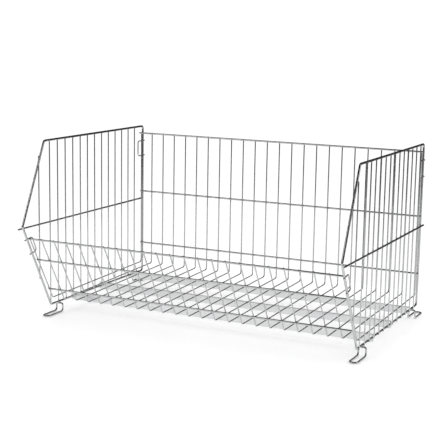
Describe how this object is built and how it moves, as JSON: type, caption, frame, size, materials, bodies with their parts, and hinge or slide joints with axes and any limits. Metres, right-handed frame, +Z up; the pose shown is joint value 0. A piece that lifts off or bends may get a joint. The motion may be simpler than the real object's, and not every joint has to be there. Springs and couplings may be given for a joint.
{
  "type": "wire mesh container",
  "caption": "Stackable open-fronted wire mesh container with a leaning front, swinging side panels and looped feet.",
  "frame": {"origin": "middle of the bounding box at ground level, under the feet", "axes": "+X is the width, -Y is the open leaning front, +Y is the back mesh, +Z is up"},
  "size_m": [0.9254, 0.673, 0.4932],
  "materials": {
    "zinc_wire": "bright zinc plate",
    "zinc_sheet": "zinc-plated sheet"
  },
  "bodies": {
    "basket": {"mesh_wire_01": "zinc_wire", "mesh_wire_02": "zinc_wire", "mesh_wire_03": "zinc_wire", "mesh_wire_04": "zinc_wire", "mesh_wire_05": "zinc_wire", "mesh_wire_06": "zinc_wire", "mesh_wire_07": "zinc_wire", "mesh_wire_08": "zinc_wire", "mesh_wire_09": "zinc_wire", "mesh_wire_10": "zinc_wire", "mesh_wire_11": "zinc_wire", "mesh_wire_12": "zinc_wire", "mesh_wire_13": "zinc_wire", "mesh_wire_14": "zinc_wire", "mesh_wire_15": "zinc_wire", "mesh_wire_16": "zinc_wire", "mesh_wire_17": "zinc_wire", "mesh_wire_18": "zinc_wire", "mesh_wire_19": "zinc_wire", "mesh_wire_20": "zinc_wire", "mesh_wire_21": "zinc_wire", "mesh_wire_22": "zinc_wire", "mesh_wire_23": "zinc_wire", "mesh_wire_24": "zinc_wire", "back_rail_top": "zinc_wire", "back_rail_middle": "zinc_wire", "back_rail_lower": "zinc_wire", "front_rail_top": "zinc_wire", "front_rail_middle": "zinc_wire", "front_rail_lower": "zinc_wire", "floor_bar_front": "zinc_sheet", "floor_bar_middle": "zinc_sheet", "floor_bar_rear": "zinc_sheet"},
    "left_panel": {"left_frame": "zinc_wire", "left_grille": "zinc_wire", "left_foot_front": "zinc_wire", "left_foot_rear": "zinc_wire", "left_clip_rear": "zinc_wire", "left_clip_front": "zinc_wire"},
    "right_panel": {"right_frame": "zinc_wire", "right_grille": "zinc_wire", "right_foot_front": "zinc_wire", "right_foot_rear": "zinc_wire", "right_clip_rear": "zinc_wire", "right_clip_front": "zinc_wire"}
  },
  "joints": [
    {"name": "left_panel_swing", "type": "hinge", "parent": "basket", "child": "left_panel", "pos_m": [-0.4499, 0, 0.03], "axis": [0, -1, 0], "range_deg": [0, 90]},
    {"name": "right_panel_swing", "type": "hinge", "parent": "basket", "child": "right_panel", "pos_m": [0.4499, 0, 0.03], "axis": [0, 1, 0], "range_deg": [0, 90]}
  ]
}
